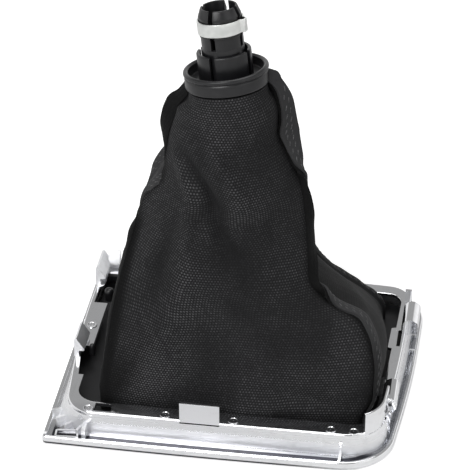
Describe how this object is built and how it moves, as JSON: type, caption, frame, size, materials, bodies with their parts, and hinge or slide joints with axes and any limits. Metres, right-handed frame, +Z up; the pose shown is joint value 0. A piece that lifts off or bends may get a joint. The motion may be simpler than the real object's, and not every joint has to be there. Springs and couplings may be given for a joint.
{
  "type": "gear lever gaiter",
  "caption": "Sewn gear lever gaiter turned inside out on its plated bezel, with raised snap hooks and a collar whose slit collet and band clamp hold the knob.",
  "frame": {"origin": "middle of the bezel on the surface that its show face lies on", "axes": "+Z up from the bezel to the collar, +X to the side with the rounded corners, -Y to the front side with the locating tab"},
  "size_m": [0.1414, 0.1226, 0.1652],
  "materials": {
    "plated_plastic": "bright plated",
    "carrier_plastic": "matte",
    "backing_fabric": "matt with a raised dot grid",
    "collar_plastic": "satin",
    "clamp_steel": "bright, slightly dented"
  },
  "bodies": {
    "root": {"bezel_frame": "plated_plastic", "inner_carrier": "carrier_plastic", "front_panel": "backing_fabric", "right_panel": "backing_fabric", "rear_panel": "backing_fabric", "left_panel": "backing_fabric", "collar_ring": "collar_plastic", "knob_collet": "collar_plastic", "band_clamp": "clamp_steel"}
  },
  "joints": []
}
